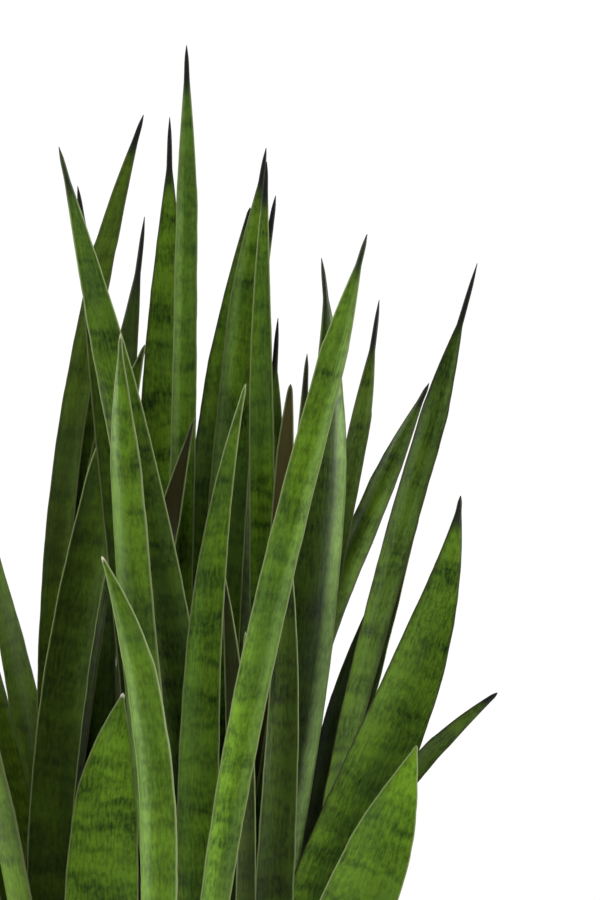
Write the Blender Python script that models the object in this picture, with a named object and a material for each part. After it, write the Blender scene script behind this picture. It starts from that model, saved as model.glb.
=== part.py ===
"""A potted snake plant: upright, lance-shaped leaves in a round clay pot.

Metres, +Z up. The pot stands on Z = 0 with its axis on the Z axis. -Y is the front.
Each leaf is one closed solid, lofted along its own centre line. The potting mix is one
solid inside the pot, and every leaf stands on it with a small gap.
"""

import math
import random

import bpy
from mathutils import Vector

GAP = 0.0003

POT_HEIGHT = 0.270
POT_RIM_RADIUS = 0.150
POT_RIM_DEPTH = 0.040
POT_RIM_STEP = 0.006
POT_FOOT_RADIUS = 0.104
POT_WALL = 0.008
POT_BASE = 0.012
POT_ROUNDING = 0.003
POT_SIDES = 56
SHARP_ANGLE = math.radians(40)
DRAIN_RADIUS = 0.008
DRAIN_CIRCLE = 0.055
DRAIN_COUNT = 3
DRAIN_SIDES = 16

SOIL_TOP = 0.235
SOIL_SIDES = 48

LEAF_FOOT = SOIL_TOP + GAP
AWL_TIP_RADIUS = 0.0013
AWL_RADIUS = 0.0027
BLADE_THICKNESS = 0.0028
FOOT_THICKNESS = 0.0060
FOOT_SHARE = 0.52
SHOULDER_CURVE = 1.5
FOOT_NARROWING = 3.0
SHOULDER_SHARE = 0.82
SWELL_REACH = 0.5
FOLD_AT_FOOT = 0.60
AWL_STATIONS = (0.35, 0.80, 1.0)
SHOULDER_STATIONS = (0.07, 0.20, 0.42, 0.70, 1.0)
BLADE_STEPS = 5
ACROSS = (-1.0, -0.5, 0.0, 0.5, 1.0, 0.5, 0.0, -0.5)
CENTRE_SAMPLES = 80
SWAY_PEAK = 6 * math.sqrt(3)

# One row for each leaf that has a place of its own, in millimetres and degrees.
# root x, y | tip x, y, z | bow x, y | sway | width | awl, taper | face at foot, tip | fold
# The bow is how far the middle leaves the straight line. The sway is an S-bend. The face is
# the way that the hollow side looks, in degrees from the front, turning to the right.
LEAVES = {
    "front_1": (25, -98, 170, -115, 1007, -25, -8, -3, 29, 27, 88, 25, -15, 0.30),
    "front_2": (-8, -108, -47, -122, 743, 25, -8, -8, 34, 12, 100, 150, 170, 0.30),
    "front_3": (35, -66, 70, -78, 885, -22, 0, 4, 37, 20, 220, 15, -10, 0.30),
    "front_4": (-3, -88, -33, -98, 926, 5, 0, 5, 35, 20, 110, 150, 165, 0.40),
    "front_5": (-50, -70, -32, -70, 628, -10, 0, 3, 66, 6, 95, 10, 5, 0.20),
    "front_6": (62, -69, 70, -94, 680, 3, -4, 0, 19, 20, 120, 20, 20, 0.30),
    "front_7": (87, -66, 102, -74, 797, 1, 0, -3, 34, 30, 180, 10, 10, 0.30),
    "front_8": (38, -40, -87, -46, 1084, 32, -4, 4, 42, 30, 220, -10, 15, 0.30),
    "front_9": (71, -36, 133, -44, 991, 14, -2, -10, 52, 35, 175, 195, 205, 0.40),
    "front_10": (56, -52, 50, -52, 732, 10, 0, -2, 22, 20, 120, 20, 0, 0.30),
    "right_1": (53, -76, 211, -104, 587, 10, -6, 0, 69, 6, 100, 10, 5, 0.22),
    "right_2": (91, -50, 249, -60, 792, -13, 0, -14, 62, 14, 170, -10, 15, 0.28),
    "right_3": (105, -12, 265, -14, 988, -28, 0, -6, 29, 55, 90, 90, -10, 0.35),
    "right_4": (80, 28, 225, 10, 887, -57, 0, -5, 29, 18, 90, 180, 160, 0.40),
    "right_5": (90, -6, 182, -14, 957, -23, 0, -9, 22, 44, 70, 10, 10, 0.30),
    "right_6": (92, 10, 181, 6, 712, -17, 0, -1, 34, 12, 110, 5, 5, 0.30),
    "right_7": (112, -32, 281, -36, 626, -65, 0, 7, 21, 10, 70, 10, 20, 0.25),
    "mid_1": (62, 14, 86.5, 12, 1076, 10, 0, 6, 25, 28, 180, 10, -5, 0.30),
    "mid_2": (40, 30, 86, 28, 1089, -18, 0, 1, 36, 32, 120, 10, 5, 0.30),
    "mid_3": (5, 48, 72, 45, 1039, -21, 0, 0, 34, 12, 150, 10, 0, 0.30),
    "mid_4": (78, 52, 96, 50, 944, -3, 0, 2, 24, 46, 60, 5, 5, 0.30),
    "mid_5": (16, 18, 18, 18, 1176, -5, 0, -3, 23, 32, 120, 5, 10, 0.30),
    "mid_6": (-12, 36, 3, 36, 1116, -2, 0, -2, 49, 45, 205, -10, 0, 0.30),
    "mid_7": (-18, -12, 26, -12, 858, -30, 0, 1, 28, 18, 100, 0, -20, 0.30),
    "mid_8": (-104, -3, -17, -3, 1028, -18, 0, -7, 43, 50, 200, 10, -10, 0.30),
    "mid_9": (-78, 20, -19, 24, 1117, -48, 0, 4, 25, 25, 120, 0, 10, 0.30),
    "mid_10": (10, -32, -72, -33, 1052, 6, 0, 0, 26, 30, 160, 0, 0, 0.20),
    "mid_11": (58, -20, 121, -26, 911, 6, 0, 0, 16, 30, 120, 0, 0, 0.30),
    "mid_12": (70, -2, 107, -4, 886, -4, 0, 0, 18, 8, 60, 0, 0, 0.30),
    "mid_13": (60, 44, 94, 42, 1049, -25, 0, 0, 14, 30, 140, 5, 0, 0.30),
    "mid_14": (-88, -24, -16, -21, 919, -38, 0, 0, 40, 12, 110, 5, 0, 0.28),
    "mid_15": (-62, 44, -66, 42, 985, 0, 0, 0, 44, 20, 150, 5, 0, 0.28),
    "low_1": (-42, -104, -85, -180, 400, 4, 14, 0, 38, 12, 80, -20, -20, 0.28),
    "low_2": (14, -119, 4, -192, 380, 0, 18, 0, 30, 10, 70, 0, -5, 0.28),
    "low_3": (48, -104, 75, -188, 425, -4, 16, 0, 34, 12, 80, 20, 25, 0.28),
}

# The leaves round the outside of the clump stand on arcs.
# name | radius | first angle, step | count | lean outwards | height | bow outwards | width | fold
ARCS = (
    ("back", 0.088, 48, 28, 4, 0.035, 0.640, 0.004, 0.036, 0.30),
    ("rear", 0.114, 26, 21, 6, 0.110, 0.520, -0.012, 0.044, 0.26),
    ("left", 0.112, 152, 21, 4, 0.130, 0.580, -0.018, 0.040, 0.28),
)
ARC_SEED = 11
ARC_AWL = 0.025
ARC_TAPER = 0.170
HEIGHT_SPREAD = 0.12
LEAN_SPREAD = 0.25
SIDE_SPREAD = 0.012
FACE_SPREAD = 10

LEAF_LIGHT = (0.115, 0.215, 0.045)
LEAF_DARK = (0.045, 0.105, 0.025)
LIGHT_DEPTH = -0.110
DARK_DEPTH = 0.050
LEAF_ROUGHNESS = 0.42
CLAY = (0.60, 0.27, 0.15)
CLAY_ROUGHNESS = 0.80
SOIL_BROWN = (0.050, 0.033, 0.022)
SOIL_ROUGHNESS = 0.95


def clear_scene():
    for item in list(bpy.data.objects):
        bpy.data.objects.remove(item, do_unlink=True)


def finish(name, colour, roughness):
    """A Principled material with one colour."""
    material = bpy.data.materials.new(name)
    material.use_nodes = True
    shader = material.node_tree.nodes["Principled BSDF"]
    shader.inputs["Base Color"].default_value = (*colour, 1.0)
    shader.inputs["Roughness"].default_value = roughness
    shader.inputs["Metallic"].default_value = 0.0
    return material


def solid(name, points, faces, material):
    """An object in the scene from points and faces."""
    mesh = bpy.data.meshes.new(name)
    mesh.from_pydata(points, [], faces)
    mesh.materials.append(material)
    mesh.shade_smooth()
    mesh.set_sharp_from_angle(angle=SHARP_ANGLE)
    item = bpy.data.objects.new(name, mesh)
    bpy.context.collection.objects.link(item)
    return item


def turned(name, profile, sides, material):
    """A closed profile of (radius, height) points turned about the Z axis, top to bottom outside."""
    points = []
    rings = []
    for radius, height in profile:
        ring = []
        if radius == 0:
            ring = [len(points)] * sides
            points.append((0, 0, height))
        else:
            for side in range(sides):
                angle = 2 * math.pi * side / sides
                ring.append(len(points))
                points.append((radius * math.cos(angle), radius * math.sin(angle), height))
        rings.append(ring)
    faces = []
    for upper, lower in zip(rings, rings[1:]):
        for side in range(sides):
            after = (side + 1) % sides
            corners = [upper[side], lower[side], lower[after], upper[after]]
            faces.append(list(dict.fromkeys(corners)))
    return solid(name, points, faces, material)


def inner_radius(height):
    """The inside radius of the pot's tapered wall."""
    share = height / (POT_HEIGHT - POT_RIM_DEPTH)
    top = POT_RIM_RADIUS - POT_RIM_STEP
    return POT_FOOT_RADIUS + (top - POT_FOOT_RADIUS) * min(share, 1) - POT_WALL


def make_pot():
    """A clay pot with a banded rim, a rounded lip and drain holes round the middle of its base."""
    body_top = POT_RIM_RADIUS - POT_RIM_STEP
    band = POT_HEIGHT - POT_RIM_DEPTH
    lip = inner_radius(POT_HEIGHT) + POT_ROUNDING
    profile = [
        (0, POT_BASE),
        (inner_radius(POT_BASE), POT_BASE),
        (inner_radius(band), band),
        (inner_radius(POT_HEIGHT), POT_HEIGHT - POT_ROUNDING),
        (lip, POT_HEIGHT),
        (POT_RIM_RADIUS - POT_ROUNDING, POT_HEIGHT),
        (POT_RIM_RADIUS, POT_HEIGHT - POT_ROUNDING),
        (POT_RIM_RADIUS, band + POT_ROUNDING),
        (POT_RIM_RADIUS - POT_ROUNDING, band),
        (body_top, band - POT_ROUNDING),
        (POT_FOOT_RADIUS, POT_ROUNDING),
        (POT_FOOT_RADIUS - POT_ROUNDING, 0),
        (0, 0),
    ]
    pot = turned("pot", profile, POT_SIDES, finish("clay", CLAY, CLAY_ROUGHNESS))
    for hole in range(DRAIN_COUNT):
        angle = 2 * math.pi * hole / DRAIN_COUNT
        place = (DRAIN_CIRCLE * math.cos(angle), DRAIN_CIRCLE * math.sin(angle), POT_BASE / 2)
        bpy.ops.mesh.primitive_cylinder_add(
            vertices=DRAIN_SIDES, radius=DRAIN_RADIUS, depth=3 * POT_BASE, location=place
        )
        cutter = bpy.context.object
        cutter.name = f"drain_cutter_{hole + 1}"
        cutter.hide_render = True
        cutter.display_type = "WIRE"
        cut = pot.modifiers.new(cutter.name, "BOOLEAN")
        cut.operation = "DIFFERENCE"
        cut.object = cutter
    return pot


def make_soil():
    """The potting mix, from the pot's base to the foot of the leaves."""
    bottom = POT_BASE + GAP
    profile = [
        (0, SOIL_TOP),
        (inner_radius(SOIL_TOP) - 2 * GAP, SOIL_TOP),
        (inner_radius(bottom) - 2 * GAP, bottom),
        (0, bottom),
    ]
    return turned("soil", profile, SOIL_SIDES, finish("potting_mix", SOIL_BROWN, SOIL_ROUGHNESS))


def centre_line(root, tip, bow, sway):
    """Points from foot to tip: a straight lean, a bow and an S-bend in x."""
    points = []
    for sample in range(CENTRE_SAMPLES + 1):
        share = sample / CENTRE_SAMPLES
        arch = 4 * share * (1 - share)
        bend = SWAY_PEAK * share * (1 - share) * (1 - 2 * share)
        x = root[0] + (tip[0] - root[0]) * share + bow[0] * arch + sway * bend
        y = root[1] + (tip[1] - root[1]) * share + bow[1] * arch
        z = LEAF_FOOT + (tip[2] - LEAF_FOOT) * share
        points.append(Vector((x, y, z)))
    return points


def stations(length, awl, taper):
    """Distances from the tip of the leaf's cross-sections, close together where it narrows."""
    reaches = [awl * share for share in AWL_STATIONS]
    reaches += [awl + taper * share for share in SHOULDER_STATIONS]
    rest = length - awl - taper
    reaches += [awl + taper + rest * (step + 1) / BLADE_STEPS for step in range(BLADE_STEPS)]
    return reaches


def half_width(reach, length, width, awl, taper):
    """Half the leaf's width at a distance from its tip."""
    if reach <= awl:
        return AWL_TIP_RADIUS + (AWL_RADIUS - AWL_TIP_RADIUS) * reach / awl
    if reach <= awl + taper:
        share = min(1, (reach - awl) / taper)
        shoulder = SHOULDER_SHARE * width / 2
        return AWL_RADIUS + (shoulder - AWL_RADIUS) * (1 - (1 - share) ** SHOULDER_CURVE)
    share = min(1, (reach - awl - taper) / (length - awl - taper))
    swell = math.sin(math.pi / 2 * min(1, share / SWELL_REACH))
    swell = SHOULDER_SHARE + (1 - SHOULDER_SHARE) * swell
    return width / 2 * swell * (1 - (1 - FOOT_SHARE) * share**FOOT_NARROWING)


def section(centre, along, face, half, fold, thickness):
    """The points round one cross-section: across the hollow side, then back across the other."""
    out = Vector((math.sin(face), -math.cos(face), 0))
    side = along.cross(out).normalized()
    out = side.cross(along)
    points = []
    for place, across in enumerate(ACROSS):
        rise = fold * half * across * across
        depth = thickness / 2 * math.sqrt(1 - across * across)
        if place > len(ACROSS) // 2:
            depth = -depth
        points.append(centre + side * (half * across) + out * (rise + depth))
    return points


def make_leaf(name, root, tip, bow, sway, width, awl, taper, faces_at, fold, colour):
    """One leaf, from a flat foot on the potting mix to an awl-shaped tip."""
    line = centre_line(root, tip, bow, sway)
    reach_at = [0.0]
    for lower, upper in zip(reversed(line[:-1]), reversed(line[1:])):
        reach_at.append(reach_at[-1] + (upper - lower).length)
    reach_at.reverse()
    length = reach_at[0]
    points = [tuple(line[-1])]
    rings = []
    for reach in stations(length, awl, taper):
        low = max(i for i in range(CENTRE_SAMPLES) if reach_at[i] >= reach - 1e-9)
        part = (reach_at[low] - reach) / (reach_at[low] - reach_at[low + 1])
        centre = line[low].lerp(line[low + 1], part)
        along = (line[low + 1] - line[low]).normalized()
        share = 1 - reach / length
        foot = reach > length - 1e-6
        if foot:
            along = Vector((0, 0, 1))
        face = math.radians(faces_at[0] + (faces_at[1] - faces_at[0]) * share)
        half = half_width(reach, length, width, awl, taper)
        blade = min(1, reach / (awl + taper))
        deepen = (1 - share) ** 2
        curl = (fold + (FOLD_AT_FOOT - fold) * deepen) * blade
        thick = BLADE_THICKNESS + (FOOT_THICKNESS - BLADE_THICKNESS) * deepen
        thick = min(2 * half, thick)
        ring = section(centre, along, face, half, curl, thick)
        rings.append([len(points) + i for i in range(len(ring))])
        points += [tuple(p) for p in ring]
    count = len(ACROSS)
    faces = [[0, rings[0][i], rings[0][(i + 1) % count]] for i in range(count)]
    for upper, lower in zip(rings, rings[1:]):
        for i in range(count):
            after = (i + 1) % count
            faces.append([upper[i], lower[i], lower[after], upper[after]])
    faces.append(list(reversed(rings[-1])))
    return solid(name, points, faces, finish(name, colour, LEAF_ROUGHNESS))


def leaf_colour(depth):
    """Leaves at the front are lighter than those at the back."""
    share = min(1, max(0, (depth - LIGHT_DEPTH) / (DARK_DEPTH - LIGHT_DEPTH)))
    return tuple(a + (b - a) * share for a, b in zip(LEAF_LIGHT, LEAF_DARK))


def make_placed_leaves():
    for name, row in LEAVES.items():
        lengths = [millimetres / 1000 for millimetres in row[:11]]
        root, tip, bow = lengths[0:2], lengths[2:5], lengths[5:7]
        sway, width, awl, taper = lengths[7:11]
        make_leaf(
            f"leaf_{name}", root, tip, bow, sway, width, awl, taper,
            row[11:13], row[13], leaf_colour(root[1]),
        )


def make_arc_leaves():
    chance = random.Random(ARC_SEED)
    for name, radius, first, step, count, lean, height, bow, width, fold in ARCS:
        for place in range(count):
            angle = math.radians(first + step * place)
            out = Vector((math.cos(angle), math.sin(angle)))
            side = Vector((-out.y, out.x))
            far = radius + lean * (1 + chance.uniform(-LEAN_SPREAD, LEAN_SPREAD))
            shift = chance.uniform(-SIDE_SPREAD, SIDE_SPREAD)
            tall = height * (1 + chance.uniform(-HEIGHT_SPREAD, HEIGHT_SPREAD))
            root = out * radius
            end = out * far + side * shift
            tip = (end.x, end.y, SOIL_TOP + tall)
            face = first + step * place - 90
            make_leaf(
                f"leaf_{name}_{place + 1}", root, tip, out * bow, 0.0, width, ARC_AWL,
                ARC_TAPER * tall / height, (face, face + chance.uniform(-FACE_SPREAD, FACE_SPREAD)),
                fold, leaf_colour(root.y),
            )


def main():
    clear_scene()
    make_pot()
    make_soil()
    make_placed_leaves()
    make_arc_leaves()


main()
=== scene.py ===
"""A potted snake plant, finished around its CAD frame.

Each leaf is grown again along the line of its own CAD solid, with a fine surface, wavy
margins and banded green skin. The pot is turned finer and the potting mix gets its
crumbs. Metres, +Z up, the pot's underside on Z = 0 and -Y the front.
"""

import math
import random

import bpy
import numpy as np
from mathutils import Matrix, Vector

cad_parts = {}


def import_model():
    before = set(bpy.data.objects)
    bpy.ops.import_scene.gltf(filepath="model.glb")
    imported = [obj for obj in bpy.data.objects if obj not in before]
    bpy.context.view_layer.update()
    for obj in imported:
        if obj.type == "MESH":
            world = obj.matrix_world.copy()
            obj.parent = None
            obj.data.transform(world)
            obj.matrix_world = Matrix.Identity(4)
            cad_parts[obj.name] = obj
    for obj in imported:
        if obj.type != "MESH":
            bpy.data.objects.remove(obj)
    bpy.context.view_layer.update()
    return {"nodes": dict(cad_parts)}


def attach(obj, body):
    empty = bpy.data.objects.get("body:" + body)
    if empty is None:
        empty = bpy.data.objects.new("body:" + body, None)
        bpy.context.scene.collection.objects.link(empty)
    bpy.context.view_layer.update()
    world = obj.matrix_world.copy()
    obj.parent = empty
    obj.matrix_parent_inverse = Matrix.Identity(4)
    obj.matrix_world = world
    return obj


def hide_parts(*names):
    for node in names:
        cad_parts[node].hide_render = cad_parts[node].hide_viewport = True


LEAF_SEED = 7
LEAF_STATIONS = 150
LEAF_STRANDS = 28
AWL_HALF_WIDTH = 0.0028
LIGHT_SPREAD = (0.94, 1.06)
POINT_DIGITS = 6

POT_HEIGHT = 0.270
POT_RIM_RADIUS = 0.150
POT_RIM_DEPTH = 0.040
POT_RIM_STEP = 0.006
POT_FOOT_RADIUS = 0.104
POT_WALL = 0.008
POT_BASE = 0.012
POT_SIDES = 144
DRAIN_RADIUS = 0.008
DRAIN_CIRCLE = 0.055
DRAIN_COUNT = 3
DRAIN_SIDES = 32
SHARP_ANGLE = math.radians(50)
SOIL_TOP = 0.235

CAMERA_PLACE = (0.115, -3.2, 0.830)
CAMERA_LENS = 150.6
CAMERA_SENSOR = 36.0
FLOOR_RADIUS = 2.2
FLOOR_SIDES = 96
FLOOR_GAP = 0.0006
SURROUND_SEEN = 0.96
SURROUND_LIGHT = 0.07

# How a leaf looks: brightness at its tip and its foot (partly its own tone, partly painted light and shade,
# darker for leaves and leaf feet deep in the clump), how brown it is, how dark its awl is, how pale its
# margin is, how dry the very tip is, and how strong its bands are.
LEAF_GROUPS = {
    "front": ("leaf_bright", (0.85, 0.90, 0.10, 0.80, 0.9, 0.0, 0.9)),
    "low": ("leaf_bright", (0.80, 0.80, 0.10, 0.80, 0.9, 0.0, 0.9)),
    "right": ("leaf_banded", (0.60, 0.60, 0.15, 1.00, 0.1, 0.0, 1.1)),
    "left": ("leaf_banded", (0.65, 0.60, 0.15, 1.00, 0.4, 0.0, 1.1)),
    "mid": ("leaf_deep", (0.50, 0.30, 0.15, 1.00, 0.4, 0.0, 1.0)),
    "back": ("leaf_shaded", (0.35, 0.15, 0.15, 0.90, 0.3, 0.3, 1.0)),
    "rear": ("leaf_shaded", (0.60, 0.25, 0.15, 0.90, 0.5, 0.0, 1.0)),
}
# Per leaf, the tip and foot brightness also paint in the light and shade each leaf gets, down to black at a
# shaded foot.
LEAF_LOOKS = {
    "leaf_front_1": (0.52, 1.15, 0.03, 0.85, 0.9, 0.0, 1.2),
    "leaf_front_2": (0.56, 0.60, 0.03, 0.10, 0.9, 1.0, 1.0),
    "leaf_front_3": (0.48, 1.00, 0.00, 0.05, 0.8, 0.2, 1.3),
    "leaf_front_4": (0.50, 0.50, 0.03, 0.10, 0.7, 0.6, 1.3),
    "leaf_front_5": (0.86, 1.00, 0.03, 0.10, 0.9, 1.0, 1.4),
    "leaf_front_6": (0.40, 0.30, 0.30, 0.20, 0.9, 0.2, 1.1),
    "leaf_front_7": (0.25, 0.27, 0.10, 0.20, 0.8, 0.0, 1.5),
    "leaf_front_8": (0.54, 0.00, 0.00, 0.80, 0.9, 0.0, 1.4),
    "leaf_front_9": (0.16, 0.16, 0.00, 0.80, 0.4, 0.0, 1.5),
    "leaf_front_10": (0.25, 0.10, 0.50, 0.30, 0.7, 0.2, 1.0),
    "leaf_right_1": (0.84, 0.22, 0.00, 0.10, 0.9, 0.0, 1.2),
    "leaf_right_2": (0.42, 0.42, 0.00, 0.90, 0.0, 0.0, 1.3),
    "leaf_right_3": (0.15, 0.60, 0.03, 1.00, 0.0, 0.0, 1.5),
    "leaf_right_4": (0.40, 0.50, 0.10, 0.90, 0.1, 0.0, 1.4),
    "leaf_right_5": (0.30, 0.36, 0.15, 1.00, 0.3, 0.0, 1.5),
    "leaf_right_6": (0.08, 0.03, 0.00, 0.90, 0.0, 0.0, 1.0),
    "leaf_right_7": (0.34, 0.38, 0.10, 1.00, 0.0, 0.0, 1.6),
    "leaf_mid_1": (0.52, 0.50, 0.00, 1.00, 0.7, 0.0, 1.4),
    "leaf_mid_2": (0.38, 0.38, 0.00, 1.00, 0.5, 0.0, 1.3),
    "leaf_mid_3": (0.42, 0.10, 0.00, 1.00, 0.1, 0.0, 1.2),
    "leaf_mid_5": (0.46, 0.48, 0.00, 1.00, 0.6, 0.0, 1.3),
    "leaf_mid_6": (0.46, 0.34, 0.00, 1.00, 0.1, 0.0, 1.3),
    "leaf_mid_7": (0.25, 0.15, 0.85, 0.50, 0.9, 0.0, 0.8),
    "leaf_mid_8": (0.26, 0.10, 0.20, 1.00, 0.1, 0.0, 1.0),
    "leaf_mid_9": (0.40, 0.25, 0.20, 1.00, 0.2, 0.0, 1.0),
    "leaf_mid_10": (0.26, 0.10, 0.05, 1.00, 0.2, 0.0, 1.0),
    "leaf_mid_11": (0.35, 0.20, 0.80, 0.80, 0.5, 0.0, 0.9),
    "leaf_mid_12": (0.45, 0.20, 0.90, 0.40, 0.6, 0.0, 0.9),
    "leaf_mid_14": (0.30, 0.25, 0.10, 0.40, 0.8, 0.0, 1.0),
    "leaf_mid_15": (0.30, 0.08, 0.00, 0.40, 0.6, 0.0, 1.0),
}
# Painted sheen: a paler strip on the side of a leaf that faces a side light, seen from the front: on the
# left, on the right.
LEAF_PAINTED_SHEENS = {
    "leaf_front_1": (0.0, 0.30),
    "leaf_front_2": (0.35, 0.0),
    "leaf_front_4": (0.35, 0.0),
    "leaf_front_9": (0.0, 0.60),
    "leaf_right_3": (0.0, 0.22),
    "leaf_right_4": (0.0, 0.20),
    "leaf_right_5": (0.0, 0.20),
    "leaf_mid_5": (0.20, 0.05),
    "leaf_mid_2": (0.15, 0.0),
}


# Node trees -------------------------------------------------------------------------


class Flow:
    """A socket in a node tree that takes plain arithmetic."""

    def __init__(self, tree, socket):
        self.tree = tree
        self.socket = socket

    def maths(self, operation, *others):
        made = self.tree.nodes.new("ShaderNodeMath")
        made.operation = operation
        for place, value in enumerate((self, *others)):
            feed(self.tree, made.inputs[place], value)
        return Flow(self.tree, made.outputs[0])

    def __add__(self, other):
        return self.maths("ADD", other)

    def __sub__(self, other):
        return self.maths("SUBTRACT", other)

    def __mul__(self, other):
        return self.maths("MULTIPLY", other)

    def __truediv__(self, other):
        return self.maths("DIVIDE", other)

    def ramp(self, low, high, start=0.0, end=1.0):
        """A smooth step from start to end as this goes from low to high."""
        made = self.tree.nodes.new("ShaderNodeMapRange")
        made.interpolation_type = "SMOOTHSTEP"
        for place, value in enumerate((self, low, high, start, end)):
            feed(self.tree, made.inputs[place], value)
        return Flow(self.tree, made.outputs[0])

    def parts(self):
        """The three parts of a vector."""
        made = self.tree.nodes.new("ShaderNodeSeparateXYZ")
        self.tree.links.new(self.socket, made.inputs[0])
        return [Flow(self.tree, made.outputs[place]) for place in range(3)]


def feed(tree, socket, value):
    """Links a flow to the socket, or sets the plain value there."""
    if isinstance(value, Flow):
        tree.links.new(value.socket, socket)
    else:
        socket.default_value = value


def add(tree, kind, inputs=None, out=0, **settings):
    """A new node with these settings and inputs, as the flow out of one of its outputs."""
    made = tree.nodes.new(kind)
    for setting, value in settings.items():
        setattr(made, setting, value)
    for key, value in (inputs or {}).items():
        feed(tree, made.inputs[key], value)
    return Flow(tree, made.outputs[out])


def vector(tree, x, y, z):
    return add(tree, "ShaderNodeCombineXYZ", {0: x, 1: y, 2: z})


def vector_maths(tree, operation, *values):
    made = tree.nodes.new("ShaderNodeVectorMath")
    made.operation = operation
    sockets = [made.inputs[0], made.inputs[3 if operation == "SCALE" else 1]]
    for socket, value in zip(sockets, values):
        feed(tree, socket, value)
    return Flow(tree, made.outputs[0])


def noise(tree, at, scale=1.0, detail=2.0, roughness=0.5, out="Fac"):
    inputs = {"Vector": at, "Scale": scale, "Detail": detail, "Roughness": roughness}
    return add(tree, "ShaderNodeTexNoise", inputs, out)


def blend(tree, share, first, second):
    """A colour between two."""
    return add(tree, "ShaderNodeMix", {0: share, 6: first, 7: second}, 2, data_type="RGBA")


def tinted(tree, colour, strength):
    """A colour made lighter or darker."""
    return vector_maths(tree, "SCALE", colour, strength)


def new_tree(name, kind, inputs, outputs):
    """A node group with named sockets, its input flows by name, and its output node."""
    tree = bpy.data.node_groups.new(name, kind)
    for label, socket_type, value in inputs:
        socket = tree.interface.new_socket(label, in_out="INPUT", socket_type=socket_type)
        if value is not None:
            socket.default_value = value
    for label, socket_type in outputs:
        tree.interface.new_socket(label, in_out="OUTPUT", socket_type=socket_type)
    entry = tree.nodes.new("NodeGroupInput")
    flows = {label: Flow(tree, entry.outputs[label]) for label, _, _ in inputs}
    return tree, flows, tree.nodes.new("NodeGroupOutput")


FLOAT = "NodeSocketFloat"
WHOLE = "NodeSocketInt"
SHAPE = "NodeSocketGeometry"
VECTOR = "NodeSocketVector"
COLOUR = "NodeSocketColor"
FINISH = "NodeSocketMaterial"


# Shared skin and wear effects ----------------------------------------------------------


def cross_bands_group():
    """Light blocks, thin dark bands, wavy lines and lengthwise dashes, as they cross a leaf's skin."""
    tree, flows, result = new_tree(
        "cross_bands", "ShaderNodeTree",
        [("Across", FLOAT, 0.0), ("Reach", FLOAT, 0.0), ("Seed", FLOAT, 0.0),
         ("Block Length", FLOAT, 0.026), ("Line Spacing", FLOAT, 0.0050), ("Waver", FLOAT, 0.010)],
        [("Pattern", FLOAT), ("Line", FLOAT), ("Streak", FLOAT)],
    )
    across, reach, seed = flows["Across"], flows["Reach"], flows["Seed"]
    streak = noise(tree, vector(tree, across * 800.0, reach * 20.0, seed), detail=2.0)
    waver = (noise(tree, vector(tree, across * 60.0, reach * 18.0, seed + 4.0)) - 0.5) * flows["Waver"]
    along = reach + waver * 1.6 + (streak - 0.5) * 0.0022
    line = noise(
        tree, vector(tree, across * 55.0, along / flows["Line Spacing"], seed + 17.0), detail=1.5
    ).ramp(0.28, 0.72)
    block = noise(
        tree, vector(tree, across * 14.0, along / flows["Block Length"], seed + 9.0), detail=1.5
    )
    band = noise(
        tree, vector(tree, across * 10.0, along / flows["Block Length"] * 0.8, seed + 51.0), detail=1.0
    )
    band = (band - 0.5).maths("ABSOLUTE").ramp(0.0, 0.11)
    fleck = noise(
        tree, vector(tree, across * 420.0, reach * 130.0, seed + 23.0), detail=2.0, roughness=0.65
    ).ramp(0.33, 0.67)
    streak = streak.ramp(0.22, 0.78)
    pattern = block.ramp(0.30, 0.70) * 0.34 + band * 0.18 + line * 0.16 + fleck * 0.34 + streak * 0.16
    feed(tree, result.inputs["Pattern"], pattern)
    feed(tree, result.inputs["Line"], line)
    feed(tree, result.inputs["Streak"], streak)
    return tree


def grain_group():
    """Fine, even grain and broad blotches on Object coordinates."""
    tree, flows, result = new_tree(
        "grain", "ShaderNodeTree",
        [("Grain Size", FLOAT, 0.002), ("Blotch Size", FLOAT, 0.05)],
        [("Grain", FLOAT), ("Blotch", FLOAT)],
    )
    at = add(tree, "ShaderNodeTexCoord", out="Object")
    value = tree.nodes.new("ShaderNodeValue")
    value.outputs[0].default_value = 1.0
    unit = Flow(tree, value.outputs[0])
    feed(tree, result.inputs["Grain"], noise(tree, at, unit / flows["Grain Size"], 3.0))
    feed(tree, result.inputs["Blotch"], noise(tree, at, unit / flows["Blotch Size"], 2.0))
    return tree


def new_material(name):
    """A material, its node tree and its Principled shader."""
    material = bpy.data.materials.new(name)
    material.use_nodes = True
    return material, material.node_tree, material.node_tree.nodes["Principled BSDF"]


def use_group(tree, group, inputs):
    """A node group placed in a material, with its own values."""
    made = tree.nodes.new("ShaderNodeGroup")
    made.node_tree = group
    for key, value in inputs.items():
        feed(tree, made.inputs[key], value)
    return {socket.name: Flow(tree, socket) for socket in made.outputs}


def raise_bump(tree, shader, height, distance, strength):
    inputs = {"Height": height, "Distance": distance, "Strength": strength}
    bump = add(tree, "ShaderNodeBump", inputs, "Normal")
    feed(tree, shader.inputs["Normal"], bump)


def attribute(tree, name):
    """The parts of a vector that the leaf's surface carries."""
    return add(tree, "ShaderNodeAttribute", out="Vector", attribute_name=name).parts()


# Leaf skin ---------------------------------------------------------------------------

SKIN_LIGHT = (0.152, 0.300, 0.014, 1.0)
SKIN_DARK = (0.013, 0.044, 0.002, 1.0)
SKIN_PAINTED_SHEEN = (0.200, 0.320, 0.090, 1.0)
SKIN_COOL = (0.050, 0.105, 0.028, 1.0)
SKIN_BROWN = (0.110, 0.085, 0.030, 1.0)
MARGIN_PALE = (0.180, 0.235, 0.085, 1.0)
MARGIN_DARK = (0.028, 0.026, 0.010, 1.0)
AWL_DARK = (0.008, 0.009, 0.006, 1.0)
DRIED = (0.560, 0.520, 0.400, 1.0)


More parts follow.
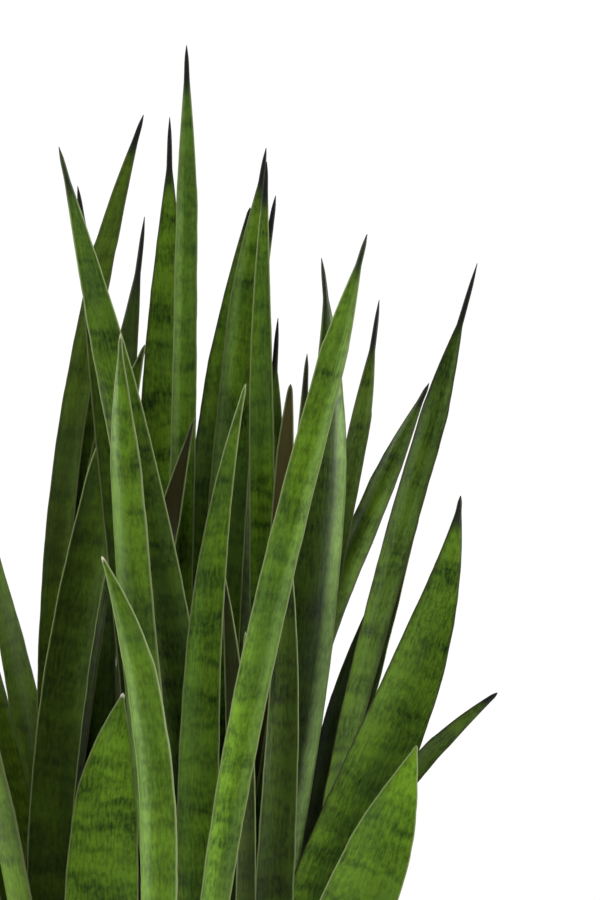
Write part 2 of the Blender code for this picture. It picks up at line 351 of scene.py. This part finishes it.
def leaf_skin(name, bands, line_spacing, gloss, shine):
    """A smooth, faintly ribbed leaf skin with ragged cross-bands, a painted sheen strip on one side, painted
    shade towards the margins, a thin margin and a dark awl.
    """
    material, tree, shader = new_material(name)
    across, reach, edge = attribute(tree, "leaf_place")
    tone, brown, seed = attribute(tree, "leaf_look")
    awl, pale, dried = attribute(tree, "leaf_wear")
    painted_sheen, contrast, _ = attribute(tree, "leaf_sheen_and_contrast")
    skin = use_group(tree, bands, {
        "Across": across, "Reach": reach, "Seed": seed, "Line Spacing": line_spacing,
    })
    pattern = (skin["Pattern"] - 0.5) * contrast + 0.5
    green = blend(tree, pattern, SKIN_DARK, SKIN_LIGHT)
    cool = noise(tree, vector(tree, across * 30.0, reach * 6.0, seed + 30.0), detail=2.0)
    green = blend(tree, cool.ramp(0.45, 0.70) * 0.45, green, SKIN_COOL)
    # The tone carries painted light and shade as well as the leaf's own tone.
    green = tinted(tree, blend(tree, brown, green, SKIN_BROWN), tone)
    # Painted sheen: a pale strip laid over one side of the leaf where a side light would catch it.
    green = blend(tree, painted_sheen * (skin["Pattern"] * 0.8 + 0.3), green, SKIN_PAINTED_SHEEN)
    # Painted shade: the green darkens over the last 5 mm towards each margin, where the leaf turns away from
    # the light.
    green = tinted(tree, green, edge.ramp(0.0, 0.0050, 0.74, 1.0))
    margin = blend(tree, pale, MARGIN_DARK, MARGIN_PALE)
    colour = blend(tree, edge.ramp(0.0005, 0.0018, 0.85, 0.0), green, margin)
    colour = blend(tree, awl, colour, AWL_DARK)
    colour = blend(tree, dried, colour, DRIED)
    feed(tree, shader.inputs["Base Color"], colour)
    feed(tree, shader.inputs["Roughness"], skin["Streak"] * 0.16 + gloss)
    shader.inputs["Specular IOR Level"].default_value = shine
    raise_bump(tree, shader, skin["Streak"] * 0.7 + skin["Line"] * 0.3, 0.0003, 0.5)
    return material


# Leaves ------------------------------------------------------------------------------


def blade_tree():
    """Grows a blade along a spine that carries the leaf's width, fold and thickness."""
    tree, flows, result = new_tree(
        "blade", "GeometryNodeTree",
        [("Spine", SHAPE, None), ("Stations", WHOLE, LEAF_STATIONS), ("Strands", WHOLE, LEAF_STRANDS),
         ("Margin Ripple", FLOAT, 0.0012), ("Ripple Length", FLOAT, 0.045),
         ("Surface Swell", FLOAT, 0.0007), ("Seed", FLOAT, 0.0), ("Tip Tone", FLOAT, 1.0),
         ("Foot Tone", FLOAT, 1.0), ("Brown", FLOAT, 0.0), ("Awl Length", FLOAT, 0.02),
         ("Dark Awl", FLOAT, 1.0), ("Pale Margin", FLOAT, 1.0), ("Dried Tip", FLOAT, 0.0),
         ("Left Painted Sheen", FLOAT, 0.0), ("Right Painted Sheen", FLOAT, 0.0), ("Contrast", FLOAT, 1.0),
         ("Skin", FINISH, None)],
        [("Blade", SHAPE)],
    )
    line = add(tree, "GeometryNodeMeshToCurve", {0: flows["Spine"]})
    line = add(tree, "GeometryNodeCurveSplineType", {0: line}, spline_type="CATMULL_ROM")
    line = add(tree, "GeometryNodeSetSplineResolution", {0: line, "Resolution": 16})
    length = add(tree, "GeometryNodeCurveLength", {0: line})
    tube = add(
        tree, "GeometryNodeMeshCylinder",
        {"Vertices": flows["Strands"], "Side Segments": flows["Stations"], "Radius": 1.0, "Depth": 1.0},
        fill_type="TRIANGLE_FAN",
    )
    across, facing, level = add(tree, "GeometryNodeInputPosition").parts()
    share = level + 0.5
    reach = share.maths("POWER", 1.15) * length

    def along_spine(name):
        value = add(
            tree, "GeometryNodeInputNamedAttribute", {"Name": name}, data_type="FLOAT_VECTOR"
        )
        return sample(value, 0)

    def sample(value, out):
        inputs = {"Curves": line, "Length": reach}
        made = tree.nodes.new("GeometryNodeSampleCurve")
        made.mode = "LENGTH"
        made.data_type = "FLOAT_VECTOR"
        made.use_all_curves = True
        if value is not None:
            inputs["Value"] = value
        for key, item in inputs.items():
            feed(tree, made.inputs[key], item)
        return Flow(tree, made.outputs[out])

    centre = sample(None, 1)
    side = vector_maths(tree, "NORMALIZE", along_spine("side"))
    hollow = vector_maths(tree, "NORMALIZE", along_spine("hollow"))
    half, rise, thick = along_spine("girth").parts()

    seed = flows["Seed"]
    spread = across.maths("ABSOLUTE")
    body = half.ramp(0.004, 0.012)
    lengths = reach / flows["Ripple Length"]
    left_or_right = across.maths("SIGN") * 3.0
    wave = noise(tree, vector(tree, lengths, left_or_right, seed), detail=2.0) - 0.5
    nibble = noise(tree, vector(tree, lengths * 2.0, left_or_right, seed + 5.0), detail=3.0) - 0.5
    swell = noise(tree, vector(tree, lengths * 0.8, across * 1.2, seed + 11.0), detail=1.0) - 0.5
    half_here = half + nibble * body * 0.0016
    width = across * half_here
    ripple = wave * flows["Margin Ripple"] * 2.0 * spread.maths("POWER", 3.0) * body
    depth = rise * across * across + facing * thick * 0.5 + ripple
    depth = depth + swell * flows["Surface Swell"] * 2.0 * body
    where = vector_maths(tree, "ADD", centre, vector_maths(tree, "SCALE", side, width))
    where = vector_maths(tree, "ADD", where, vector_maths(tree, "SCALE", hollow, depth))

    # Painted light and shade: the tone runs from tip to foot, darkest at the feet of leaves deep in the
    # clump.
    tone = (flows["Foot Tone"] - flows["Tip Tone"]) * share + flows["Tip Tone"]
    awl_end = flows["Awl Length"] * 1.25 + 0.003
    awl = reach.ramp(flows["Awl Length"] * 0.7, awl_end, flows["Dark Awl"], 0.0)
    dried = reach.ramp(0.0015, 0.0045, flows["Dried Tip"], 0.0)
    # Painted sheen, strongest towards the left or the right margin.
    painted_sheen = across.ramp(0.25, 0.55) * flows["Right Painted Sheen"]
    painted_sheen = painted_sheen + across.ramp(-0.25, -0.55) * flows["Left Painted Sheen"]
    carried = (
        ("leaf_place", vector(tree, width, reach, half_here * (spread * -1.0 + 1.0))),
        ("leaf_look", vector(tree, tone, flows["Brown"], seed)),
        ("leaf_wear", vector(tree, awl, flows["Pale Margin"], dried)),
        ("leaf_sheen_and_contrast", vector(tree, painted_sheen, flows["Contrast"], 0.0)),
    )
    blade = tube
    for name, value in carried:
        blade = add(
            tree, "GeometryNodeStoreNamedAttribute",
            {"Geometry": blade, "Name": name, "Value": value},
            data_type="FLOAT_VECTOR", domain="POINT",
        )
    blade = add(tree, "GeometryNodeSetPosition", {"Geometry": blade, "Position": where})
    blade = add(tree, "GeometryNodeSetShadeSmooth", {"Geometry": blade})
    blade = add(tree, "GeometryNodeRealizeInstances", {"Geometry": blade})
    blade = add(tree, "GeometryNodeSetMaterial", {"Geometry": blade, "Material": flows["Skin"]})
    feed(tree, result.inputs["Blade"], blade)
    return tree


def grow(name, start, tree, values):
    """The plain mesh that a tree makes from a starting mesh, as an object."""
    piece = bpy.data.objects.new(name, start)
    bpy.context.scene.collection.objects.link(piece)
    modifier = piece.modifiers.new(tree.name, "NODES")
    modifier.node_group = tree
    for item in tree.interface.items_tree:
        if item.in_out == "INPUT" and item.name in values:
            modifier[item.identifier] = values[item.name]
    graph = bpy.context.evaluated_depsgraph_get()
    made = bpy.data.meshes.new_from_object(piece.evaluated_get(graph))
    made.name = name
    piece.modifiers.remove(modifier)
    piece.data = made
    bpy.data.meshes.remove(start)
    return piece


def merged_points(node):
    """A CAD node's own points, once each, and the points that each one joins."""
    points = np.array([v.co for v in node.data.vertices])
    keys, index = np.unique(np.round(points, POINT_DIGITS), axis=0, return_inverse=True)
    index = index.reshape(-1)
    joined = [set() for _ in keys]
    for face in node.data.polygons:
        corners = [index[v] for v in face.vertices]
        for first in corners:
            joined[first].update(c for c in corners if c != first)
    return keys, joined


def leaf_rings(node):
    """The leaf's tip point, and its cross-sections from the foot up, each as points."""
    points, joined = merged_points(node)
    level = points[:, 2]
    ring = set(np.flatnonzero(level < level.min() + 1e-5))
    seen = set()
    rings = []
    while ring:
        rings.append(points[sorted(ring)])
        seen |= ring
        ring = {far for near in ring for far in joined[near]} - seen
    return rings


def section(ring):
    """Centre, unit side, unit hollow, and half width, rise and thickness of a cross-section."""
    gaps = np.linalg.norm(ring[:, None] - ring[None], axis=2)
    first, second = np.unravel_index(np.argmax(gaps), gaps.shape)
    left, right = ring[first], ring[second]
    side = (right - left) / np.linalg.norm(right - left)
    half = np.linalg.norm(right - left) / 2
    chord = (left + right) / 2
    across = (ring - chord) @ side / half
    middle = ring[np.argsort(np.abs(across))[:2]]
    centre = middle.mean(axis=0)
    thick = np.linalg.norm(middle[0] - middle[1])
    hollow = middle[0] - middle[1]
    hollow = hollow / np.linalg.norm(hollow)
    rise = (chord - centre) @ hollow
    if rise < 0:
        hollow, rise = -hollow, -rise
    return centre, side, hollow, (half, rise, thick)


def spine_mesh(node):
    """The leaf's centre line from tip to foot, carrying what its cross-sections measure."""
    rings = leaf_rings(node)
    tip = rings[-1][0]
    sections = [section(ring) for ring in reversed(rings[:-1])]
    # Sides are turned to agree with their neighbours, from the foot up.
    for place in range(len(sections) - 2, -1, -1):
        centre, side, hollow, girth = sections[place]
        below = sections[place + 1]
        if side @ below[1] < 0:
            side = -side
        if hollow @ below[2] < 0:
            hollow = -hollow
            girth = (girth[0], -girth[1], girth[2])
        sections[place] = (centre, side, hollow, girth)
    # Side, hollow and the way down to the foot make a right-handed frame.
    _, side, hollow, _ = sections[-1]
    if np.cross(side, hollow)[2] > 0:
        sections = [(c, -s, h, g) for c, s, h, g in sections]
    sections.insert(0, (tip, sections[0][1], sections[0][2], (0.0003, 0.0, 0.0006)))
    mesh = bpy.data.meshes.new(node.name + "_spine")
    mesh.from_pydata(
        [tuple(s[0]) for s in sections], [(i, i + 1) for i in range(len(sections) - 1)], []
    )
    for name, place in (("side", 1), ("hollow", 2), ("girth", 3)):
        carried = mesh.attributes.new(name, "FLOAT_VECTOR", "POINT")
        carried.data.foreach_set("vector", np.array([s[place] for s in sections]).ravel())
    return mesh


def awl_length(spine):
    """How far the leaf stays awl-shaped, from its tip."""
    points = [v.co for v in spine.vertices]
    girth = [carried.vector[0] for carried in spine.attributes["girth"].data]
    reach = 0.0
    for place in range(1, len(points)):
        reach += (points[place] - points[place - 1]).length
        if girth[place] > AWL_HALF_WIDTH:
            return reach
    return reach


def middle_side(spine):
    """Which way the leaf's width runs, halfway along it."""
    sides = spine.attributes["side"].data
    return sides[len(sides) // 2].vector


def make_leaves(frame, skins):
    """A fine blade for every CAD leaf."""
    tree = blade_tree()
    chance = random.Random(LEAF_SEED)
    for name in sorted(n for n in frame["nodes"] if n.startswith("leaf_")):
        slot, look = LEAF_GROUPS[name.split("_")[1]]
        tip_tone, foot_tone, brown, dark_awl, pale, dried, contrast = LEAF_LOOKS.get(name, look)
        painted_sheens = LEAF_PAINTED_SHEENS.get(name, (0.0, 0.0))
        seed = chance.uniform(0.0, 90.0)
        light = chance.uniform(*LIGHT_SPREAD)
        spine = spine_mesh(frame["nodes"][name])
        # The painted sheens are set as seen from the front, so they swap when the leaf's width runs the other
        # way.
        if middle_side(spine).x < 0.0:
            painted_sheens = painted_sheens[::-1]
        blade = grow(name + "_blade", spine, tree, {
            "Seed": seed, "Tip Tone": tip_tone * light, "Foot Tone": foot_tone * light,
            "Brown": brown, "Awl Length": awl_length(spine), "Dark Awl": dark_awl,
            "Pale Margin": pale, "Dried Tip": dried, "Left Painted Sheen": painted_sheens[0],
            "Right Painted Sheen": painted_sheens[1], "Contrast": contrast, "Skin": skins[slot],
        })
        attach(blade, "root")
        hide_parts(name)


# Pot and potting mix -------------------------------------------------------------------


def clay_finish(grain):
    """Fired clay: speckled, with faint turning rings and pale bloom low on the wall."""
    material, tree, shader = new_material("fired_clay")
    wear = use_group(tree, grain, {"Grain Size": 0.0016, "Blotch Size": 0.06})
    colour = blend(
        tree, wear["Blotch"].ramp(0.3, 0.7), (0.36, 0.125, 0.060, 1.0), (0.44, 0.175, 0.088, 1.0)
    )
    colour = blend(tree, wear["Grain"].ramp(0.55, 0.75) * 0.3, colour, (0.26, 0.090, 0.050, 1.0))
    at = add(tree, "ShaderNodeTexCoord", out="Object")
    height = at.parts()[2]
    bloom = wear["Blotch"].ramp(0.45, 0.7) * height.ramp(0.02, 0.12, 0.35, 0.05)
    colour = blend(tree, bloom, colour, (0.62, 0.50, 0.41, 1.0))
    feed(tree, shader.inputs["Base Color"], colour)
    shader.inputs["Roughness"].default_value = 0.82
    rings = noise(tree, vector(tree, 0.0, 0.0, height * 260.0), detail=3.0)
    raise_bump(tree, shader, rings * 0.7 + wear["Grain"] * 0.5, 0.0006, 0.5)
    return material


def soil_finish(name, grain, dark, light, size):
    material, tree, shader = new_material(name)
    wear = use_group(tree, grain, {"Grain Size": size, "Blotch Size": 0.02})
    colour = blend(tree, wear["Grain"].ramp(0.3, 0.7), dark, light)
    colour = tinted(tree, colour, wear["Blotch"] * 0.8 + 0.6)
    feed(tree, shader.inputs["Base Color"], colour)
    shader.inputs["Roughness"].default_value = 0.92
    raise_bump(tree, shader, wear["Grain"], 0.001, 0.8)
    return material


def inner_radius(height):
    """The inside radius of the pot's tapered wall."""
    share = height / (POT_HEIGHT - POT_RIM_DEPTH)
    top = POT_RIM_RADIUS - POT_RIM_STEP
    return POT_FOOT_RADIUS + (top - POT_FOOT_RADIUS) * min(share, 1) - POT_WALL


def rounded(corner, start, end, steps=6):
    """Points round a corner, on the arc between two points beside it."""
    points = []
    for step in range(steps + 1):
        t = step / steps
        points.append(tuple(
            (1 - t) ** 2 * a + 2 * t * (1 - t) * c + t**2 * b for a, c, b in zip(start, corner, end)
        ))
    return points


def turned(name, profile, sides):
    """A closed profile of (radius, height) points turned about the Z axis."""
    points, rings = [], []
    for radius, height in profile:
        if radius == 0:
            rings.append([len(points)] * sides)
            points.append((0, 0, height))
            continue
        rings.append([len(points) + side for side in range(sides)])
        for side in range(sides):
            angle = 2 * math.pi * side / sides
            points.append((radius * math.cos(angle), radius * math.sin(angle), height))
    faces = []
    for upper, lower in zip(rings, rings[1:]):
        for side in range(sides):
            after = (side + 1) % sides
            faces.append(list(dict.fromkeys([upper[side], lower[side], lower[after], upper[after]])))
    mesh = bpy.data.meshes.new(name)
    mesh.from_pydata(points, [], faces)
    mesh.shade_smooth()
    mesh.set_sharp_from_angle(angle=SHARP_ANGLE)
    item = bpy.data.objects.new(name, mesh)
    bpy.context.scene.collection.objects.link(item)
    return item


def make_pot(frame, clay):
    band = POT_HEIGHT - POT_RIM_DEPTH
    body_top = POT_RIM_RADIUS - POT_RIM_STEP
    lip = inner_radius(POT_HEIGHT)
    soft = 0.003
    corner = 0.004
    profile = [
        (0, POT_BASE),
        (inner_radius(POT_BASE) - corner, POT_BASE),
        (inner_radius(POT_BASE) + 0.0005, POT_BASE + corner),
    ]
    profile += [(inner_radius(band * s), band * s) for s in (0.25, 0.5, 0.75, 1.0)]
    profile += rounded((lip, POT_HEIGHT), (lip, POT_HEIGHT - soft), (lip + soft, POT_HEIGHT))
    rim = POT_RIM_RADIUS
    profile += rounded((rim, POT_HEIGHT), (rim - soft, POT_HEIGHT), (rim, POT_HEIGHT - soft))
    profile += rounded((rim, band), (rim, band + soft), (rim - soft, band))
    profile += rounded((body_top, band), (body_top + 0.001, band), (body_top - 0.0008, band - corner))
    profile += rounded((POT_FOOT_RADIUS, 0), (POT_FOOT_RADIUS + 0.0005, soft), (POT_FOOT_RADIUS - soft, 0))
    profile += [(0, 0)]
    pot = turned("clay_pot", profile, POT_SIDES)
    pot.data.materials.append(clay)
    cutters = []
    for hole in range(DRAIN_COUNT):
        angle = 2 * math.pi * hole / DRAIN_COUNT
        place = (DRAIN_CIRCLE * math.cos(angle), DRAIN_CIRCLE * math.sin(angle), POT_BASE / 2)
        bpy.ops.mesh.primitive_cylinder_add(
            vertices=DRAIN_SIDES, radius=DRAIN_RADIUS, depth=3 * POT_BASE, location=place
        )
        cutters.append(bpy.context.object)
        cut = pot.modifiers.new("drain", "BOOLEAN")
        cut.operation = "DIFFERENCE"
        cut.object = cutters[-1]
    graph = bpy.context.evaluated_depsgraph_get()
    made = bpy.data.meshes.new_from_object(pot.evaluated_get(graph))
    pot.modifiers.clear()
    pot.data = made
    for cutter in cutters:
        bpy.data.objects.remove(cutter)
    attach(pot, "root")
    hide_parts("pot")


def mix_tree():
    """The potting mix: a tapered plug with a loose, uneven top."""
    tree, flows, result = new_tree(
        "potting_mix", "GeometryNodeTree",
        [("Start", SHAPE, None), ("Top Radius", FLOAT, 0.13), ("Bottom Radius", FLOAT, 0.1),
         ("Top", FLOAT, 0.235), ("Bottom", FLOAT, 0.012), ("Mound", FLOAT, 0.006),
         ("Unevenness", FLOAT, 0.006), ("Finish", FINISH, None)],
        [("Mix", SHAPE)],
    )
    plug = add(
        tree, "GeometryNodeMeshCylinder",
        {"Vertices": 96, "Side Segments": 1, "Fill Segments": 44, "Radius": 1.0, "Depth": 1.0},
        fill_type="TRIANGLE_FAN",
    )
    x, y, z = add(tree, "GeometryNodeInputPosition").parts()
    up = z + 0.5
    radius = (flows["Top Radius"] - flows["Bottom Radius"]) * up + flows["Bottom Radius"]
    out = (x * x + y * y).maths("SQRT")
    rough = noise(tree, vector(tree, x * 9.0, y * 9.0, 0.0), detail=5.0, roughness=0.65) - 0.5
    lift = out.ramp(0.0, 1.0, 1.0, 0.0) * flows["Mound"] + rough * flows["Unevenness"] * 2.0
    height = (flows["Top"] - flows["Bottom"]) * up + flows["Bottom"] + lift * up
    where = vector(tree, x * radius, y * radius, height)
    plug = add(tree, "GeometryNodeSetPosition", {"Geometry": plug, "Position": where})
    plug = add(tree, "GeometryNodeSetShadeSmooth", {"Geometry": plug})
    plug = add(tree, "GeometryNodeRealizeInstances", {"Geometry": plug})
    plug = add(tree, "GeometryNodeSetMaterial", {"Geometry": plug, "Material": flows["Finish"]})
    feed(tree, result.inputs["Mix"], plug)
    return tree


def crumbs_tree():
    """Crumbs strewn over the upper faces of a surface."""
    tree, flows, result = new_tree(
        "crumbs", "GeometryNodeTree",
        [("Ground", SHAPE, None), ("Density", FLOAT, 20000.0), ("Size", FLOAT, 0.003),
         ("Size Spread", FLOAT, 0.6), ("Flatness", FLOAT, 0.6), ("Seed", WHOLE, 0), ("Finish", FINISH, None)],
        [("Crumbs", SHAPE)],
    )
    normal = add(tree, "GeometryNodeInputNormal").parts()[2]
    upward = add(tree, "FunctionNodeCompare", {0: normal, 1: 0.6}, operation="GREATER_THAN")
    points = add(
        tree, "GeometryNodeDistributePointsOnFaces",
        {"Mesh": flows["Ground"], "Selection": upward, "Density": flows["Density"], "Seed": flows["Seed"]},
    )
    lump = add(tree, "GeometryNodeMeshIcoSphere", {"Radius": 0.5, "Subdivisions": 2})
    bump = noise(tree, add(tree, "GeometryNodeInputPosition"), 2.2, 1.0, out="Color")
    push = vector_maths(tree, "SCALE", vector_maths(tree, "SUBTRACT", bump, (0.5, 0.5, 0.5)), 0.9)
    lump = add(tree, "GeometryNodeSetPosition", {"Geometry": lump, "Offset": push})
    flat = vector(tree, 1.0, flows["Flatness"].maths("SQRT"), flows["Flatness"])
    lump = add(tree, "GeometryNodeTransform", {"Geometry": lump, "Scale": flat})
    turn = random_vector(tree, (-0.6, -0.6, 0.0), (0.6, 0.6, 2 * math.pi), flows["Seed"])
    low = flows["Size"] * (flows["Size Spread"] * -1.0 + 1.0)
    high = flows["Size"] * (flows["Size Spread"] + 1.0)
    size = add(
        tree, "FunctionNodeRandomValue", {2: low, 3: high, "Seed": flows["Seed"]}, 1, data_type="FLOAT"
    )
    crumbs = add(
        tree, "GeometryNodeInstanceOnPoints",
        {"Points": points, "Instance": lump, "Rotation": turn, "Scale": vector(tree, size, size, size)},
    )
    crumbs = add(tree, "GeometryNodeRealizeInstances", {"Geometry": crumbs})
    crumbs = add(tree, "GeometryNodeSetMaterial", {"Geometry": crumbs, "Material": flows["Finish"]})
    feed(tree, result.inputs["Crumbs"], crumbs)
    return tree


def random_vector(tree, low, high, seed):
    return add(
        tree, "FunctionNodeRandomValue", {0: low, 1: high, "Seed": seed}, 0, data_type="FLOAT_VECTOR"
    )


def make_mix(frame, grain):
    """The potting mix, its bark crumbs and its perlite."""
    earth = soil_finish("damp_mix", grain, (0.012, 0.008, 0.006, 1), (0.055, 0.036, 0.024, 1), 0.002)
    bark = soil_finish("bark", grain, (0.030, 0.016, 0.009, 1), (0.120, 0.070, 0.040, 1), 0.0015)
    perlite = soil_finish("perlite", grain, (0.55, 0.53, 0.48, 1), (0.80, 0.78, 0.74, 1), 0.001)
    start = bpy.data.meshes.new("start")
    mix = grow("potting_mix_top", start, mix_tree(), {
        "Top Radius": inner_radius(SOIL_TOP) - 0.0008, "Bottom Radius": inner_radius(POT_BASE) - 0.005,
        "Top": SOIL_TOP, "Bottom": POT_BASE + 0.0004, "Mound": 0.006, "Unevenness": 0.004, "Finish": earth,
    })
    tree = crumbs_tree()
    strewn = (
        ("bark_crumbs", bark, 16000.0, 0.0050, 0.6, 0.5, 3),
        ("fine_crumbs", earth, 24000.0, 0.0028, 0.5, 0.8, 5),
        ("perlite_grains", perlite, 2600.0, 0.0032, 0.4, 0.8, 8),
    )
    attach(mix, "root")
    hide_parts("soil")
    for name, finish, density, size, spread, flatness, seed in strewn:
        crumbs = grow(name, mix.data.copy(), tree, {
            "Density": density, "Size": size, "Size Spread": spread, "Flatness": flatness,
            "Seed": seed, "Finish": finish,
        })
        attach(crumbs, "root")


# Studio ------------------------------------------------------------------------------


def make_camera():
    camera = bpy.data.cameras.new("camera")
    camera.lens = CAMERA_LENS
    camera.sensor_width = CAMERA_SENSOR
    item = bpy.data.objects.new("camera", camera)
    item.location = CAMERA_PLACE
    item.rotation_euler = (math.radians(90), 0, 0)
    bpy.context.scene.collection.objects.link(item)
    bpy.context.scene.camera = item


def softbox(name, place, aim, width, height, power):
    lamp = bpy.data.lights.new(name, "AREA")
    lamp.shape = "RECTANGLE"
    lamp.size = width
    lamp.size_y = height
    lamp.energy = power
    item = bpy.data.objects.new(name, lamp)
    item.location = place
    item.rotation_euler = (Vector(aim) - Vector(place)).to_track_quat("-Z", "Y").to_euler()
    bpy.context.scene.collection.objects.link(item)


def make_studio():
    """A pale floor, a white surround and three large soft lights."""
    world = bpy.data.worlds.new("surround")
    bpy.context.scene.world = world
    world.use_nodes = True
    tree = world.node_tree
    background = tree.nodes["Background"]
    seen = add(tree, "ShaderNodeLightPath", out="Is Camera Ray")
    feed(tree, background.inputs["Color"], (1.0, 1.0, 1.0, 1.0))
    feed(tree, background.inputs["Strength"], seen * SURROUND_SEEN + SURROUND_LIGHT)
    softbox("front_light", (-0.3, -1.6, 2.9), (0.05, 0, 0.75), 1.0, 1.0, 36.0)
    softbox("right_light", (2.3, -0.55, 1.4), (0.05, 0, 0.75), 0.7, 1.8, 90.0)
    softbox("left_light", (-2.3, -0.55, 1.4), (0.0, 0, 0.75), 0.7, 1.8, 90.0)
    bpy.ops.mesh.primitive_circle_add(
        vertices=FLOOR_SIDES, radius=FLOOR_RADIUS, fill_type="NGON", location=(0, 0, -FLOOR_GAP)
    )
    floor = bpy.context.object
    floor.name = "floor"
    material, _, shader = new_material("floor_paper")
    shader.inputs["Base Color"].default_value = (0.86, 0.86, 0.85, 1.0)
    shader.inputs["Roughness"].default_value = 0.9
    floor.data.materials.append(material)
    bpy.context.scene.view_settings.view_transform = "Standard"


def main():
    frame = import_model()
    make_camera()
    bands = cross_bands_group()
    grain = grain_group()
    skins = {
        "leaf_bright": leaf_skin("bright_leaf_skin", bands, 0.0050, 0.36, 0.16),
        "leaf_banded": leaf_skin("banded_leaf_skin", bands, 0.0045, 0.34, 0.14),
        "leaf_deep": leaf_skin("deep_leaf_skin", bands, 0.0042, 0.36, 0.10),
        "leaf_shaded": leaf_skin("shaded_leaf_skin", bands, 0.0048, 0.36, 0.10),
    }
    make_leaves(frame, skins)
    make_pot(frame, clay_finish(grain))
    make_mix(frame, grain)
    make_studio()


main()
